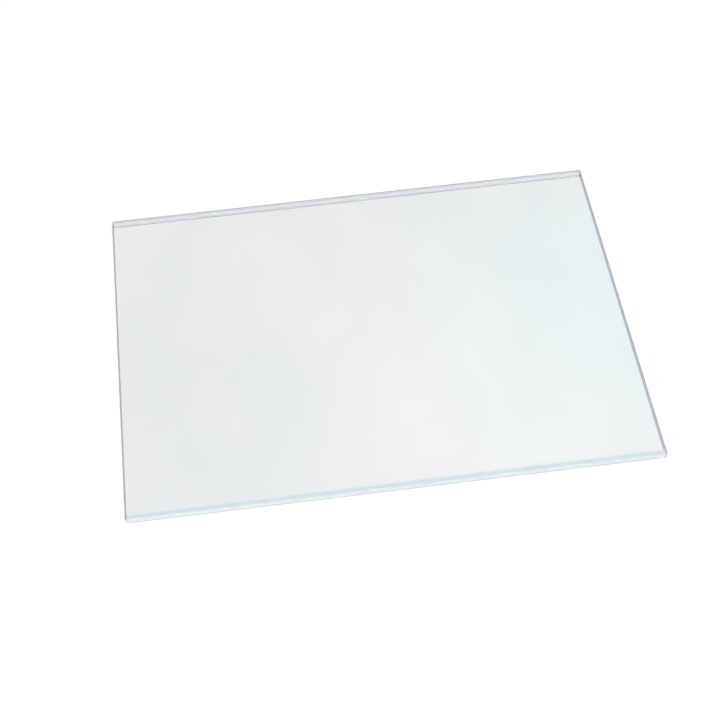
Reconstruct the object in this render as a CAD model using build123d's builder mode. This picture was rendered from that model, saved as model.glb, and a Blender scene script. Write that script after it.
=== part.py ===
from build123d import *
import os

# Glass pane: clear tempered float glass with ground edges
pane_width = 470.0
pane_depth = 354.0
pane_thickness = 4.0
corner_radius = 2.5  # dubbed corners, seen from above
edge_radius = 1.8  # pencil edge: ground round from face to face

# Edge channel: clear extruded profile, pushed onto the front and the rear edge
channel_wall = 0.9  # web, and each flange at its tip
flange_reach = 4.6  # how far a flange covers the glass
end_setback = 0.6  # how far each end of a channel stops short of the pane
end_radius = 1.5  # outer corners of those ends, seen from above
web_gap = 0.1  # air between the ground edge and the web
grip_gap = 0.02  # air between each flange's land and the glass
lead_in = 0.2  # chamfer at the mouth of the slot
grip_land = 0.8  # flat behind the chamfer that holds the glass
slot_relief = 0.15  # how much further a flange stands off the glass at the web
nose_radius = 0.7  # outer corners of the web
tip_radius = 0.3  # outer corner of each flange tip
root_radius = 0.15  # inner corner between flange and web

# Heights above the surface that the shelf lies on, and distances from its middle
slot_height = pane_thickness + 2 * grip_gap
channel_height = slot_height + 2 * channel_wall
glass_bottom = channel_wall + grip_gap
glass_edge = pane_depth / 2
web_inside = glass_edge + web_gap
web_outside = web_inside + channel_wall
flange_tip = glass_edge - flange_reach
slot_mouth = flange_tip + lead_in
nose_fillet = min(nose_radius, 0.8 * channel_wall)
edge_fillet = min(edge_radius, 0.46 * pane_thickness, 0.9 * corner_radius)
shelf_depth = 2 * web_outside
channel_length = pane_width - 2 * end_setback

# The pane: a sheet with rounded corners, its edge ground round all the way about
with BuildPart() as glass_pane:
    with BuildSketch(Plane.XY.offset(glass_bottom)):
        RectangleRounded(pane_width, pane_depth, corner_radius)
    extrude(amount=pane_thickness)
    fillet(glass_pane.faces().filter_by(Axis.Z).edges(), radius=edge_fillet)

# The channel's section, drawn from the slot's mid-plane: the lower flange and its mirror image.
# The flanges lean towards each other, so that only the land behind each tip holds the glass.
section_plane = Plane(origin=(0, 0, channel_height / 2), x_dir=(0, 1, 0), z_dir=(1, 0, 0))
lower_flange = [
    (web_outside, -channel_height / 2),
    (flange_tip, -channel_height / 2),
    (flange_tip, -slot_height / 2 - lead_in),
    (slot_mouth, -slot_height / 2),
    (slot_mouth + grip_land, -slot_height / 2),
    (web_inside, -slot_height / 2 - slot_relief),
]
upper_flange = [(across, -up) for across, up in reversed(lower_flange)]

# A length of the profile, trimmed to an outline with rounded corners
with BuildPart() as rear_trim:
    with BuildSketch(section_plane):
        with BuildLine():
            Polyline(*lower_flange, *upper_flange, close=True)
        make_face()
        fillet(vertices().group_by(Axis.X)[-2], radius=root_radius)
        fillet(vertices().group_by(Axis.X)[-1], radius=nose_fillet)
        tip_corners = vertices().group_by(Axis.X)[0].sort_by(Axis.Y)
        fillet([tip_corners[0], tip_corners[-1]], radius=tip_radius)
    extrude(amount=pane_width / 2, both=True)
    with BuildSketch(Plane.XY):
        RectangleRounded(channel_length, shelf_depth, end_radius)
    extrude(amount=2 * channel_height, both=True, mode=Mode.INTERSECT)

# The front channel is the same length of profile, turned to face the other way
with BuildPart() as front_trim:
    add(rear_trim.part, rotation=(0, 0, 180))

os.makedirs("parts", exist_ok=True)
for label, piece in (
    ("glass_pane", glass_pane),
    ("front_trim", front_trim),
    ("rear_trim", rear_trim),
):
    piece.part.label = label
    export_step(piece.part, f"parts/{label}.step")
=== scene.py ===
# %% [markdown]
# A fridge shelf is about the plainest thing that glass is used for: one flat pane, tempered so
# that it can carry food, with a slim clear channel pushed onto its front and its rear edge.
# Nothing on it is coloured or printed, so all that can be seen is what the material does to
# light. The lesson is therefore about three things: edges, tint, and what the glass mirrors.
# The pane and the channels come from the CAD model, and nothing is modelled a second time.

# %% Load the solids
import math

import bmesh
import bpy
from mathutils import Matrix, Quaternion, Vector


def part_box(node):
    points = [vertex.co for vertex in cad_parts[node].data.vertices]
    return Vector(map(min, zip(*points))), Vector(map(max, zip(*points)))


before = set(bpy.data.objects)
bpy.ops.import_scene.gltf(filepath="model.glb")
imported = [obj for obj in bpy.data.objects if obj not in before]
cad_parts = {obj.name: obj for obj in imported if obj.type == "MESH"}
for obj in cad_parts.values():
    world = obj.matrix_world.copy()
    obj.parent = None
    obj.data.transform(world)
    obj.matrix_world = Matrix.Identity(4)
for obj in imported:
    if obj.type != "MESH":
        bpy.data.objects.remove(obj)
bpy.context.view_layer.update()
print("nodes:", sorted(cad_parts))

# %% [markdown]
# Every size that the finishes need is read from the solids, so that a change to the pane moves
# its ground edge along with it. Two small sizes can't be read from a box, the radius of the
# pane's corners and the radius that its edge is ground to, so they are repeated here.

# %% Read the sizes
MM = 0.001
pane_low, pane_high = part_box("glass_pane")
pane_half = (pane_high - pane_low) / 2
pane_middle = (pane_low.z + pane_high.z) / 2
trim_low, trim_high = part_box("rear_trim")
corner_radius = 2.5 * MM
edge_radius = 1.8 * MM
print("pane, in mm:", [round(2 * side / MM, 1) for side in pane_half])
print("channel, in mm:", [round(side / MM, 2) for side in trim_high - trim_low])

# %% [markdown]
# The camera looks down on the shelf from the front, a little from the left, and is turned
# slightly about its own axis, so that the near edge climbs to the right. A long lens a metre and
# a half away keeps the far edge nearly as long as the near one. The camera could be placed by
# hand and aimed with a constraint. Angles and a distance are easier to read and to change.

# %% Place the camera
view_target = Vector((-14.89, -29.11, 0.0)) * MM
view_azimuth = math.radians(-5.317)
view_elevation = math.radians(50.547)
view_roll = math.radians(-2.577)
view_distance = 1484.0 * MM
lens_mm = 81.04
sensor_mm = 36.0

towards_camera = Vector((
    math.sin(view_azimuth) * math.cos(view_elevation),
    -math.cos(view_azimuth) * math.cos(view_elevation),
    math.sin(view_elevation),
))
camera = bpy.data.objects.new("camera", bpy.data.cameras.new("camera"))
camera.data.lens = lens_mm
camera.data.sensor_width = sensor_mm
camera.location = view_target + towards_camera * view_distance
camera.rotation_mode = "QUATERNION"
aim = (-towards_camera).to_track_quat("-Z", "Y")
camera.rotation_quaternion = aim @ Quaternion((0, 0, 1), view_roll)
bpy.context.collection.objects.link(camera)
bpy.context.scene.camera = camera
bpy.context.scene.view_settings.view_transform = "Standard"
print("camera at", [round(c, 3) for c in camera.location])

# %% [markdown]
# Materials are wired from nodes, and wiring is wordy. The first helper adds a node and fills its
# sockets: a value that is given as a socket is linked, and any other value is typed in. The next
# two do arithmetic with it. The same graphs could be drawn by hand in the shader editor. Written
# down, they can be read from top to bottom and made again with one run.

# %% Helpers: nodes and arithmetic
def put(tree, kind, inputs=None, **settings):
    """Add a node, set its options, and fill or link its inputs by name or by number."""
    node = tree.nodes.new(kind)
    for name, value in settings.items():
        setattr(node, name, value)
    for key, value in (inputs or {}).items():
        if isinstance(value, bpy.types.NodeSocket):
            tree.links.new(value, node.inputs[key])
        else:
            node.inputs[key].default_value = value
    return node


def maths(tree, operation, *values):
    """One arithmetic step on numbers or sockets."""
    node = put(tree, "ShaderNodeMath", dict(enumerate(values)), operation=operation)
    return node.outputs[0]


def vector_maths(tree, operation, *values):
    """One step of vector arithmetic."""
    node = put(tree, "ShaderNodeVectorMath", dict(enumerate(values)), operation=operation)
    return node.outputs["Value" if operation == "LENGTH" else "Vector"]


print("helpers: put, maths and vector_maths")

# %% [markdown]
# Four more helpers stand on those: a soft step between two numbers, a mix of two colours, and the
# two ends of a node group. A group is a small graph with named sockets, which more than one
# material can hold with its own values. Here the groups only work out masks and patterns, and the
# shaders stay in the materials.

# %% Helpers: soft steps, mixes and groups
def ramp(tree, value, low, high, at_low=0.0, at_high=1.0):
    """A soft step from one number to another while value runs from low to high."""
    node = put(tree, "ShaderNodeMapRange", {
        "Value": value, "From Min": low, "From Max": high, "To Min": at_low, "To Max": at_high,
    }, interpolation_type="SMOOTHSTEP")
    return node.outputs["Result"]


def blend(tree, share, first, second):
    """Mix two colours: a share of 0 gives the first, and a share of 1 the second."""
    # A Mix node has sockets for each kind of data. Those for colours are inputs 6 and 7, and output 2.
    node = put(tree, "ShaderNodeMix", {0: share, 6: first, 7: second}, data_type="RGBA")
    return node.outputs[2]


def new_group(name, inputs, outputs):
    """Start a node group with named number sockets: its tree, what it is given and its result."""
    tree = bpy.data.node_groups.new(name, "ShaderNodeTree")
    for label, value in inputs.items():
        socket = tree.interface.new_socket(label, in_out="INPUT", socket_type="NodeSocketFloat")
        socket.default_value = value
    for label in outputs:
        tree.interface.new_socket(label, in_out="OUTPUT", socket_type="NodeSocketFloat")
    given = tree.nodes.new("NodeGroupInput").outputs
    result = tree.nodes.new("NodeGroupOutput").inputs
    return tree, given, result


def close_group(tree, result, outputs):
    """Link each named value to the group's result."""
    for label, value in outputs.items():
        tree.links.new(value, result[label])
    return tree


print("helpers: ramp, blend, new_group and close_group")

# %% [markdown]
# The shelf lies on a plain white table. Most of the white is ordinary paint under the studio
# light, which keeps the soft shadow under the shelf. A small glow lifts the rest, and rises with
# the distance, because the lamps light the table less there. The glow is given only to rays that
# look at the table, directly or through glass, so it doesn't light the shelf from below. A
# brighter lamp would whiten the table too, but would wash out the shadow.

# %% White table: its finish
WHITE = (1, 1, 1, 1)
floor_paint = (0.90, 0.90, 0.90, 1)
floor_roughness = 0.9
near_glow, far_glow = 0.12, 0.36
glow_rise = (0.3, 2.0)


def seen_directly(tree):
    """1 for rays from the camera, also by way of glass or a mirror, and 0 for rays that light things."""
    path = tree.nodes.new("ShaderNodeLightPath").outputs
    seen = maths(tree, "MAXIMUM", path["Is Camera Ray"], path["Is Glossy Ray"])
    seen = maths(tree, "MAXIMUM", seen, path["Is Transmission Ray"])
    straight = maths(tree, "LESS_THAN", path["Diffuse Depth"], 0.5)
    return maths(tree, "MULTIPLY", seen, straight)


def white_table():
    material = bpy.data.materials.new("white table")
    material.use_nodes = True
    tree = material.node_tree
    paint = tree.nodes["Principled BSDF"]
    paint.inputs["Base Color"].default_value = floor_paint
    paint.inputs["Roughness"].default_value = floor_roughness
    paint.inputs["Specular IOR Level"].default_value = 0.0
    paint.inputs["Emission Color"].default_value = WHITE
    place = put(tree, "ShaderNodeTexCoord").outputs["Object"]
    away = vector_maths(tree, "LENGTH", place)
    rise = ramp(tree, away, *glow_rise, near_glow, far_glow)
    glow = maths(tree, "MULTIPLY", seen_directly(tree), rise)
    tree.links.new(glow, paint.inputs["Emission Strength"])
    return material


table_white = white_table()
print("material:", table_white.name)

# %% [markdown]
# The table itself is one square sheet. It lies a hair below the shelf's underside, because two
# faces in the same plane fight over which of them is seen.

# %% White table: its sheet
floor_half = 12.0
floor_gap = 0.05 * MM

sheet = bmesh.new()
bmesh.ops.create_grid(sheet, x_segments=1, y_segments=1, size=floor_half)
bmesh.ops.translate(sheet, vec=(0, 0, -floor_gap), verts=sheet.verts)
floor_mesh = bpy.data.meshes.new("floor")
sheet.to_mesh(floor_mesh)
sheet.free()
floor_mesh.materials.append(table_white)
floor = bpy.data.objects.new("floor", floor_mesh)
bpy.context.collection.objects.link(floor)
print("floor, in m:", 2 * floor_half)

# %% [markdown]
# A pane mirrors about a twelfth of what stands opposite, and on a white table that is most of
# what gives it a tone. Where it mirrors something dark it looks pale grey, and where it mirrors
# something bright it nearly vanishes. A photographer sets this with graded cards, and they could
# be modelled as lit planes. Painted into the surroundings they throw no shadow and need no mesh.
# Each direction stands for a place on a level ceiling one unit up, so many units across and along.
# There the cards run from dark on the left to bright on the right, grow even further back, and
# turn cool in a patch on the right.

# %% Graded cards
dark_card = (0.01, 0.02, 0.03, 1)
bright_card = (0.80, 0.82, 0.64, 1)
cool_card = (0.06, 0.74, 0.76, 1)
grade_across = (-0.08, 0.16)
grade_end = (1.02, 0.80)
far_tone = 0.6
cool_across = (0.10, 0.28)
cool_start, cool_end = (0.63, 0.82), (1.04, 0.90)


def graded_cards(tree, across, along):
    """The cards' colour at a place on the ceiling."""
    grade = maths(tree, "SUBTRACT", ramp(tree, across, *grade_across), far_tone)
    grade = maths(tree, "MULTIPLY", grade, ramp(tree, along, *grade_end))
    lit = maths(tree, "ADD", grade, far_tone)
    cards = blend(tree, lit, dark_card, bright_card)
    cool = maths(tree, "MULTIPLY", ramp(tree, along, *cool_start), ramp(tree, along, *cool_end))
    cool = maths(tree, "MULTIPLY", cool, ramp(tree, across, *cool_across))
    return blend(tree, cool, cards, cool_card)


print("cards run from", dark_card[:3], "to", bright_card[:3])

# %% [markdown]
# Around the cards the studio is white, with a grey band low down and a darker flag at each side.
# The pane and the rims mirror those when they are seen at a low angle, and without them the glass
# would be lost against the table. The light that falls on things is kept apart from all this, and
# is even and neutral, as from a white room. Straight behind the table the camera sees plain white.

# %% Surroundings
dome_light = 0.80
low_grey = (0.50, 0.52, 0.53, 1)
side_flag = (0.28, 0.29, 0.31, 1)
cards_start, cards_end = (0.2, 0.5), (1.6, 1.2)
low_band = (0.42, 0.18)
flag_sideways, flag_height = (0.55, 0.80), (0.50, 0.30)
least_height = 0.05


def studio_colour(tree):
    """The colour that the glass mirrors in each direction."""
    look = put(tree, "ShaderNodeTexCoord").outputs["Generated"]
    axes = put(tree, "ShaderNodeSeparateXYZ", {"Vector": look}).outputs
    height = maths(tree, "MAXIMUM", axes["Z"], least_height)
    across = maths(tree, "DIVIDE", axes["X"], height)
    along = maths(tree, "DIVIDE", axes["Y"], height)
    cards = graded_cards(tree, across, along)
    behind = maths(tree, "MULTIPLY", ramp(tree, along, *cards_start), ramp(tree, along, *cards_end))
    colour = blend(tree, behind, WHITE, cards)
    colour = blend(tree, ramp(tree, axes["Z"], *low_band), colour, low_grey)
    sideways = ramp(tree, maths(tree, "ABSOLUTE", axes["X"]), *flag_sideways)
    flags = maths(tree, "MULTIPLY", sideways, ramp(tree, axes["Z"], *flag_height))
    return blend(tree, flags, colour, side_flag)


def surroundings():
    world = bpy.data.worlds.new("studio")
    world.use_nodes = True
    tree = world.node_tree
    light = tree.nodes["Background"]
    light.inputs["Color"].default_value = WHITE
    light.inputs["Strength"].default_value = dome_light
    camera_ray = tree.nodes.new("ShaderNodeLightPath").outputs["Is Camera Ray"]
    colour = blend(tree, camera_ray, studio_colour(tree), WHITE)
    seen = put(tree, "ShaderNodeBackground", {"Color": colour, "Strength": 1.0})
    choice = put(tree, "ShaderNodeMixShader", {
        0: seen_directly(tree), 1: light.outputs[0], 2: seen.outputs[0],
    })
    tree.links.new(choice.outputs[0], tree.nodes["World Output"].inputs["Surface"])
    return world


bpy.context.scene.world = surroundings()
print("even light from all round:", dome_light)

# %% [markdown]
# Two large soft lamps, one overhead and one low in front, give the edges a lit side and the
# channels a faint shadow. In a real shelf such a lamp also shows as a bright disk with a hard
# rim, and a photographer moves it until it doesn't. Here the lamps are hidden from mirrored and
# bent rays instead, so the cards alone decide what the glass shows.

# %% Lamps
def soft_lamp(name, place, width, watts):
    data = bpy.data.lights.new(name, "AREA")
    data.shape = "DISK"
    data.size = width
    data.energy = watts
    lamp = bpy.data.objects.new(name, data)
    lamp.location = place
    lamp.rotation_mode = "QUATERNION"
    lamp.rotation_quaternion = (-Vector(place)).to_track_quat("-Z", "Y")
    lamp.visible_glossy = False
    lamp.visible_transmission = False
    bpy.context.collection.objects.link(lamp)
    print(name, "of", watts, "W")


soft_lamp("overhead lamp", place=(0.9, -0.7, 1.9), width=0.9, watts=10.0)
soft_lamp("front lamp", place=(-0.9, -1.7, 0.50), width=1.2, watts=14.0)

# %% [markdown]
# The pane's faces are smooth, and its edge is ground round and left slightly frosted. The edge
# could be given a material slot of its own, but the solids stay as they are, so one material
# holds both and has to know how far a point lies from the outline. This group works that out, as
# the distance inside a rectangle with rounded corners, and gives a mask that is 1 on the ground
# edge. Two more masks mark a band along the left and the right edge, which no channel covers, for
# the painted shade that the material puts there.

# %% Node group: the pane's outline
def outline_group():
    tree, given, result = new_group(
        "pane outline",
        {"Half Width": 0.2, "Half Depth": 0.2, "Corner Radius": 0.002, "Ground Width": 0.0005,
         "Left Band": 0.0005, "Right Band": 0.0005},
        ["Ground", "Left Edge", "Right Edge"],
    )
    place = put(tree, "ShaderNodeTexCoord").outputs["Object"]
    flat = vector_maths(tree, "MULTIPLY", vector_maths(tree, "ABSOLUTE", place), (1, 1, 0))
    corner = put(tree, "ShaderNodeCombineXYZ", {
        "X": maths(tree, "SUBTRACT", given["Half Width"], given["Corner Radius"]),
        "Y": maths(tree, "SUBTRACT", given["Half Depth"], given["Corner Radius"]),
    }).outputs[0]
    beyond = vector_maths(tree, "SUBTRACT", flat, corner)
    outside = vector_maths(tree, "LENGTH", vector_maths(tree, "MAXIMUM", beyond, (0, 0, 0)))
    parts = put(tree, "ShaderNodeSeparateXYZ", {"Vector": beyond}).outputs
    inside = maths(tree, "MINIMUM", maths(tree, "MAXIMUM", parts["X"], parts["Y"]), 0.0)
    reach = maths(tree, "ADD", outside, inside)
    distance = maths(tree, "SUBTRACT", given["Corner Radius"], reach)
    # Bands along the left and the right edge, where painted shade goes.
    sideways = put(tree, "ShaderNodeSeparateXYZ", {"Vector": place}).outputs["X"]
    from_left = maths(tree, "ADD", given["Half Width"], sideways)
    from_right = maths(tree, "SUBTRACT", given["Half Width"], sideways)
    return close_group(tree, result, {
        "Ground": maths(tree, "LESS_THAN", distance, given["Ground Width"]),
        "Left Edge": maths(tree, "LESS_THAN", from_left, given["Left Band"]),
        "Right Edge": maths(tree, "LESS_THAN", from_right, given["Right Band"]),
    })


outline = outline_group()
print("group:", outline.name)

# %% [markdown]
# Glass and clear plastic are never perfectly clean or perfectly even. A cloth leaves a film in
# broad soft patches, and whatever is drawn through a die or over rollers keeps faint lines along
# its length. A painted picture could hold both, but noise has no seams and no limit of detail.
# Both effects are used by both materials, so each is a group with its own scale.

# %% Node groups: wiped film and drawn lines
wipe_stretch = (1, 0.5, 1)
film_step = (0.32, 0.68)


def film_group():
    tree, given, result = new_group("wiped film", {"Scale": 8.0}, ["Film"])
    place = put(tree, "ShaderNodeTexCoord").outputs["Object"]
    broad = put(tree, "ShaderNodeTexNoise", {
        "Vector": vector_maths(tree, "MULTIPLY", place, wipe_stretch),
        "Scale": given["Scale"], "Detail": 3.0, "Roughness": 0.45, "Distortion": 0.6,
    })
    return close_group(tree, result, {"Film": ramp(tree, broad.outputs["Fac"], *film_step)})


def lines_group():
    tree, given, result = new_group("drawn lines", {"Across": 900.0, "Along": 3.0}, ["Lines"])
    place = put(tree, "ShaderNodeTexCoord").outputs["Object"]
    stretch = put(tree, "ShaderNodeCombineXYZ", {
        "X": given["Along"], "Y": given["Across"], "Z": given["Across"],
    }).outputs[0]
    streaks = put(tree, "ShaderNodeTexNoise", {
        "Vector": vector_maths(tree, "MULTIPLY", place, stretch), "Scale": 1.0, "Detail": 2.0,
    })
    return close_group(tree, result, {"Lines": streaks.outputs["Fac"]})


film = film_group()
lines = lines_group()
print("groups:", film.name, "and", lines.name)

# %% [markdown]
# Both clear materials share one build. A Principled shader with transmission bends and mirrors
# light as glass does, and absorption inside the body gives a tint that deepens with the length of
# the path: pale through the face, blue-green along the edge. Such a shader blocks lamps, because a
# lamp is never found through a bent ray. For rays that only carry light, a plain tinted window
# takes its place, so that the table under the shelf is lit.

# %% Clear body shared by glass and plastic
def clear_body(name, index, clarity, tint, density, window):
    material = bpy.data.materials.new(name)
    material.use_nodes = True
    tree = material.node_tree
    body = tree.nodes["Principled BSDF"]
    body.inputs["IOR"].default_value = index
    body.inputs["Transmission Weight"].default_value = clarity
    depth = put(tree, "ShaderNodeVolumeAbsorption", {"Color": tint, "Density": density})
    path = tree.nodes.new("ShaderNodeLightPath").outputs
    lighting = maths(tree, "MAXIMUM", path["Is Shadow Ray"], path["Is Diffuse Ray"])
    clear = put(tree, "ShaderNodeBsdfTransparent", {"Color": window})
    choice = put(tree, "ShaderNodeMixShader", {0: lighting, 1: body.outputs[0], 2: clear.outputs[0]})
    tree.links.new(choice.outputs[0], tree.nodes["Material Output"].inputs["Surface"])
    tree.links.new(depth.outputs[0], tree.nodes["Material Output"].inputs["Volume"])
    return material, tree, body


print("helper: clear_body")

# %% [markdown]
# The two short edges of the pane are bare, and each shows as a fine dark line. A ground edge bends
# what lies beyond it into the glass, so its upper half takes up the light of the room and its
# lower half the shade beneath. The line is narrow and nearly neutral on the left, and a little
# wider and bluer on the right, which the camera sees from further aside. Refraction alone draws
# it too faintly, so the line is painted shade in the material: lighter on the upper half and
# darker on the lower, narrow and neutral on the left and wider and bluer on the right.

# %% Painted shade on the bare edges of the pane
# Painted shade along the short edges: each band's width, then its upper and lower tone.
left_band = 1.6 * MM
left_upper_painted_shade = (0.58, 0.59, 0.61, 1)
left_lower_painted_shade = (0.21, 0.225, 0.25, 1)
right_band = 2.6 * MM
right_upper_painted_shade = (0.92, 0.93, 0.96, 1)
right_lower_painted_shade = (0.29, 0.31, 0.40, 1)


def paint_edge_shade(tree, place, edge, tone):
    """Paint shade along the two short edges, lighter on their upper half than on their lower half."""
    height = put(tree, "ShaderNodeSeparateXYZ", {"Vector": place}).outputs["Z"]
    lower = ramp(tree, height, pane_middle + edge_radius, pane_middle - edge_radius)
    left = blend(tree, lower, left_upper_painted_shade, left_lower_painted_shade)
    right = blend(tree, lower, right_upper_painted_shade, right_lower_painted_shade)
    tone = blend(tree, edge["Left Edge"], tone, left)
    return blend(tree, edge["Right Edge"], tone, right)


print("dark lines at the short edges, in mm:", left_band / MM, "and", right_band / MM)

# %% [markdown]
# Float glass is faintly blue-green from the iron in its sand. The faces carry the film, and a
# very slight waviness that tempering leaves when the hot pane rides on rollers. The ground edge
# is rougher, with a fine grain from the wheel. Waves and grain could be modelled, but they are
# hundredths of a millimetre deep, so a bump in the shading is enough.

# %% Float glass
film_scale = 16.0
wiped_tone = (0.964, 0.967, 0.974, 1)
film_tone = (0.994, 0.996, 0.988, 1)
smear_roughness = 0.01
grain_scale = 2500.0
ground_roughness, grain_roughness = 0.45, 0.2
wave_across, wave_along = 14.0, 5.0
wave_height = 0.02 * MM
pit_height, pit_strength = 0.02 * MM, 0.4


def float_glass():
    material, tree, body = clear_body(
        "float glass", index=1.52, clarity=1.0, tint=(0.40, 0.75, 0.73, 1), density=2.0,
        window=(0.915, 0.920, 0.922, 1),
    )
    place = put(tree, "ShaderNodeTexCoord").outputs["Object"]
    edge = put(tree, "ShaderNodeGroup", {
        "Half Width": pane_half.x, "Half Depth": pane_half.y, "Corner Radius": corner_radius,
        "Ground Width": edge_radius, "Left Band": left_band, "Right Band": right_band,
    }, node_tree=outline).outputs
    cloud = put(tree, "ShaderNodeGroup", {"Scale": film_scale}, node_tree=film).outputs["Film"]
    # Painted shade along the two short edges, lighter on their upper half.
    tone = paint_edge_shade(tree, place, edge, blend(tree, cloud, wiped_tone, film_tone))
    tree.links.new(tone, body.inputs["Base Color"])

    noise = put(tree, "ShaderNodeTexNoise", {"Vector": place, "Scale": grain_scale, "Detail": 2.0})
    grain = noise.outputs["Fac"]
    frost = maths(tree, "ADD", maths(tree, "MULTIPLY", grain, grain_roughness), ground_roughness)
    frost = maths(tree, "MULTIPLY", edge["Ground"], frost)
    smear = maths(tree, "MULTIPLY", cloud, smear_roughness)
    tree.links.new(maths(tree, "MAXIMUM", smear, frost), body.inputs["Roughness"])

    rollers = put(tree, "ShaderNodeGroup", {"Across": wave_across, "Along": wave_along}, node_tree=lines)
    waves = put(tree, "ShaderNodeBump", {
        "Strength": 1.0, "Distance": wave_height, "Height": rollers.outputs["Lines"],
    })
    pits = put(tree, "ShaderNodeBump", {
        "Strength": pit_strength, "Distance": pit_height,
        "Height": maths(tree, "MULTIPLY", grain, edge["Ground"]), "Normal": waves.outputs[0],
    })
    tree.links.new(pits.outputs[0], body.inputs["Normal"])
    return material


glass = float_glass()
print("material:", glass.name)

# %% [markdown]
# A clear channel is seen mostly by its turns. Where the wall bends, light is led away, and the
# place reads as a grey line: at the cut ends, along the lower lip, at the top corner of the rear
# web and at the foot of the front one. These lines are painted shade in the material. The flanges
# over the glass are paler, in painted light and shade of their own. Separate materials would need
# the solids cut up. This group tells the places apart by where they lie on the channel, and since
# the front channel is the rear one turned round, it measures most of them from the middle of the
# shelf outwards.

# %% Node group: places on the channel
def channel_group():
    tree, given, result = new_group(
        "channel ends and lips",
        {"Half Length": 0.2, "Cut Width": 0.001, "Lip": 0.17, "Middle Height": 0.003, "Web": 0.177,
         "Nose": 0.178, "Nose Height": 0.003, "Top Height": 0.006, "Foot Height": 0.001},
        ["Cut End", "Lower Lip", "Flange", "Upper", "Towards Web", "Rear", "Rear Nose", "Front Foot"],
    )
    place = put(tree, "ShaderNodeTexCoord").outputs["Object"]
    depth = put(tree, "ShaderNodeSeparateXYZ", {"Vector": place}).outputs["Y"]
    outwards = vector_maths(tree, "ABSOLUTE", place)
    axes = put(tree, "ShaderNodeSeparateXYZ", {"Vector": outwards}).outputs
    from_end = maths(tree, "SUBTRACT", given["Half Length"], axes["X"])
    low = maths(tree, "LESS_THAN", axes["Z"], given["Middle Height"])
    lip = maths(tree, "LESS_THAN", axes["Y"], given["Lip"])
    over_glass = maths(tree, "LESS_THAN", axes["Y"], given["Web"])
    rear_face = maths(tree, "GREATER_THAN", depth, given["Nose"])
    front_face = maths(tree, "LESS_THAN", depth, maths(tree, "MULTIPLY", given["Nose"], -1.0))
    top = ramp(tree, axes["Z"], given["Nose Height"], given["Top Height"])
    foot = maths(tree, "LESS_THAN", axes["Z"], given["Foot Height"])
    return close_group(tree, result, {
        "Cut End": maths(tree, "LESS_THAN", from_end, given["Cut Width"]),
        "Lower Lip": maths(tree, "MULTIPLY", low, lip),
        "Flange": maths(tree, "SUBTRACT", over_glass, lip),
        "Upper": maths(tree, "SUBTRACT", 1.0, low),
        "Towards Web": ramp(tree, axes["Y"], given["Lip"], given["Web"]),
        "Rear": maths(tree, "GREATER_THAN", depth, 0.0),
        "Rear Nose": maths(tree, "MULTIPLY", rear_face, top),
        "Front Foot": maths(tree, "MULTIPLY", front_face, foot),
    })


channel = channel_group()
print("group:", channel.name)

# %% [markdown]
# The places get their tones here. The front channel is seen from outside, through its web, and
# looks aqua, so its flanges get a painted aqua light. The rear one is seen from inside, over the
# glass, and looks a cool grey, so its lower flange gets a paler painted light and its upper flange
# painted shade that deepens towards its web. One tone for the whole channel would be simpler, but
# the strip would then look flat, as if it were painted on.

# %% Tones of the channel, with painted light and shade
cut_width = 1.2 * MM
lip_width = 0.4 * MM
nose_width = 0.9 * MM
nose_height, nose_fade = 3.0 * MM, 0.3 * MM
foot_height = 1.6 * MM
web_tones = (0.91, 0.970, 0.970, 1), (0.945, 0.985, 0.985, 1)
# Painted light and shade on the flanges: aqua at the front, and at the rear paler below and darker
# towards the web.
front_flange_painted_light = (0.86, 0.94, 0.945, 1)
rear_lower_painted_light = (0.98, 0.985, 1.0, 1)
rear_upper_painted_shade = (0.972, 0.978, 1.0, 1), (0.78, 0.785, 0.815, 1)
# Painted shade for the grey lines at the turns: front foot, rear nose, cut ends and lower lip.
foot_painted_shade = (0.56, 0.61, 0.61, 1)
nose_painted_shade = (0.14, 0.15, 0.17, 1)
cut_end_painted_shade = (0.58, 0.60, 0.64, 1)
lip_painted_shade = (0.52, 0.53, 0.575, 1)


def channel_tone(tree, cloud):
    """The channel's colour, place by place, with painted light and shade on the flanges and painted
    shade at the turns.
    """
    at = put(tree, "ShaderNodeGroup", {
        "Half Length": trim_high.x, "Cut Width": cut_width, "Lip": trim_low.y + lip_width,
        "Middle Height": trim_high.z / 2, "Web": pane_half.y, "Nose": trim_high.y - nose_width,
        "Nose Height": trim_high.z - nose_height, "Top Height": trim_high.z - nose_fade,
        "Foot Height": foot_height,
    }, node_tree=channel).outputs
    # Painted light and shade on the flanges, by front and rear and by height.
    upper = blend(tree, at["Towards Web"], *rear_upper_painted_shade)
    rear_flange = blend(tree, at["Upper"], rear_lower_painted_light, upper)
    flange = blend(tree, at["Rear"], front_flange_painted_light, rear_flange)
    tone = blend(tree, at["Flange"], blend(tree, cloud, *web_tones), flange)
    # Painted shade along the turns: front foot, rear nose, cut ends and lower lip.
    tone = blend(tree, at["Front Foot"], tone, foot_painted_shade)
    tone = blend(tree, at["Rear Nose"], tone, nose_painted_shade)
    tone = blend(tree, at["Cut End"], tone, cut_end_painted_shade)
    return blend(tree, at["Lower Lip"], tone, lip_painted_shade)


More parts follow.
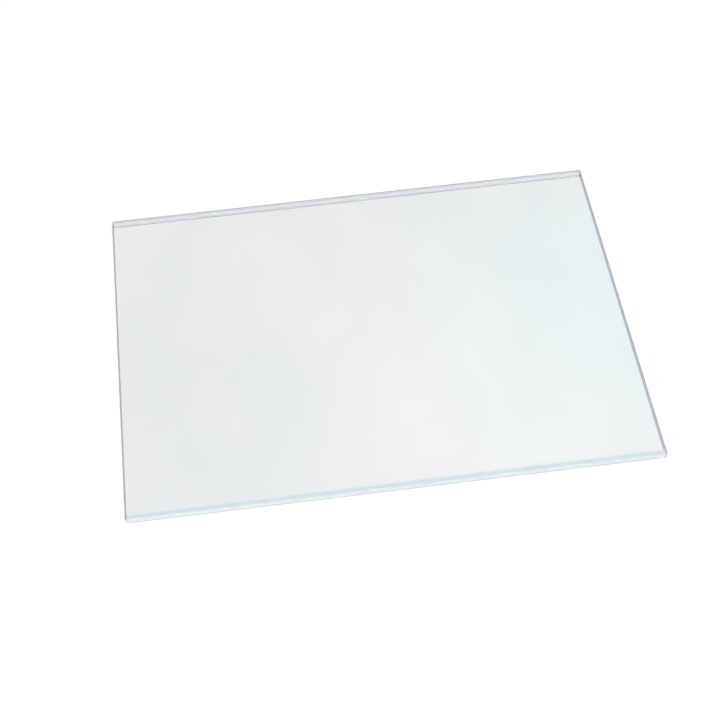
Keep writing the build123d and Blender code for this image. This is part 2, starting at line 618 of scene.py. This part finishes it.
print("lines on the channel, in mm:", [round(w / MM, 1) for w in (cut_width, lip_width, nose_width)])

# %% [markdown]
# The channels are a clear plastic, drawn through a die. It is less clear than the glass, with a
# satin haze, and faintly lined along its length. A glossier plastic could be made by less
# roughness, but light that is caught in so thin a wall then sparkles. A satin roughness and a
# little less transmission look calm.

# %% Clear channel plastic
die_across, die_along = 2600.0, 6.0
trim_film_scale = 40.0
streak_step = (0.3, 0.7)
satin = (0.32, 0.40)
line_height, line_strength = 0.005 * MM, 0.2


def clear_plastic():
    material, tree, body = clear_body(
        "clear channel plastic", index=1.49, clarity=0.74, tint=(0.35, 0.85, 0.86, 1), density=8.0,
        window=(0.968, 0.972, 0.974, 1),
    )
    cloud = put(tree, "ShaderNodeGroup", {"Scale": trim_film_scale}, node_tree=film).outputs["Film"]
    tree.links.new(channel_tone(tree, cloud), body.inputs["Base Color"])
    die = put(tree, "ShaderNodeGroup", {"Across": die_across, "Along": die_along}, node_tree=lines)
    streaks = die.outputs["Lines"]
    tree.links.new(ramp(tree, streaks, *streak_step, *satin), body.inputs["Roughness"])
    bump = put(tree, "ShaderNodeBump", {
        "Strength": line_strength, "Distance": line_height, "Height": streaks,
    })
    tree.links.new(bump.outputs[0], body.inputs["Normal"])
    return material


plastic = clear_plastic()
print("material:", plastic.name)

# %% [markdown]
# The solids already have the right form, ground edges and roundings included, so they stay as
# they are and only take on these materials.

# %% Dress the solids
def dress(node, material):
    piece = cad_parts[node]
    piece.data.materials.clear()
    piece.data.materials.append(material)
    print(node, "is now", material.name)


dress("glass_pane", glass)
dress("front_trim", plastic)
dress("rear_trim", plastic)

# %% [markdown]
# Light that is caught in a pane bounces many times before it leaves, so the render may follow
# more bends than usual. With fewer, the edges would turn black where a path is cut short.

# %% Follow the light further
most_bends = 96
most_windows = 32

bpy.context.scene.cycles.max_bounces = most_bends
bpy.context.scene.cycles.transmission_bounces = most_bends
bpy.context.scene.cycles.glossy_bounces = most_bends
bpy.context.scene.cycles.transparent_max_bounces = most_windows
print("bends followed:", most_bends)
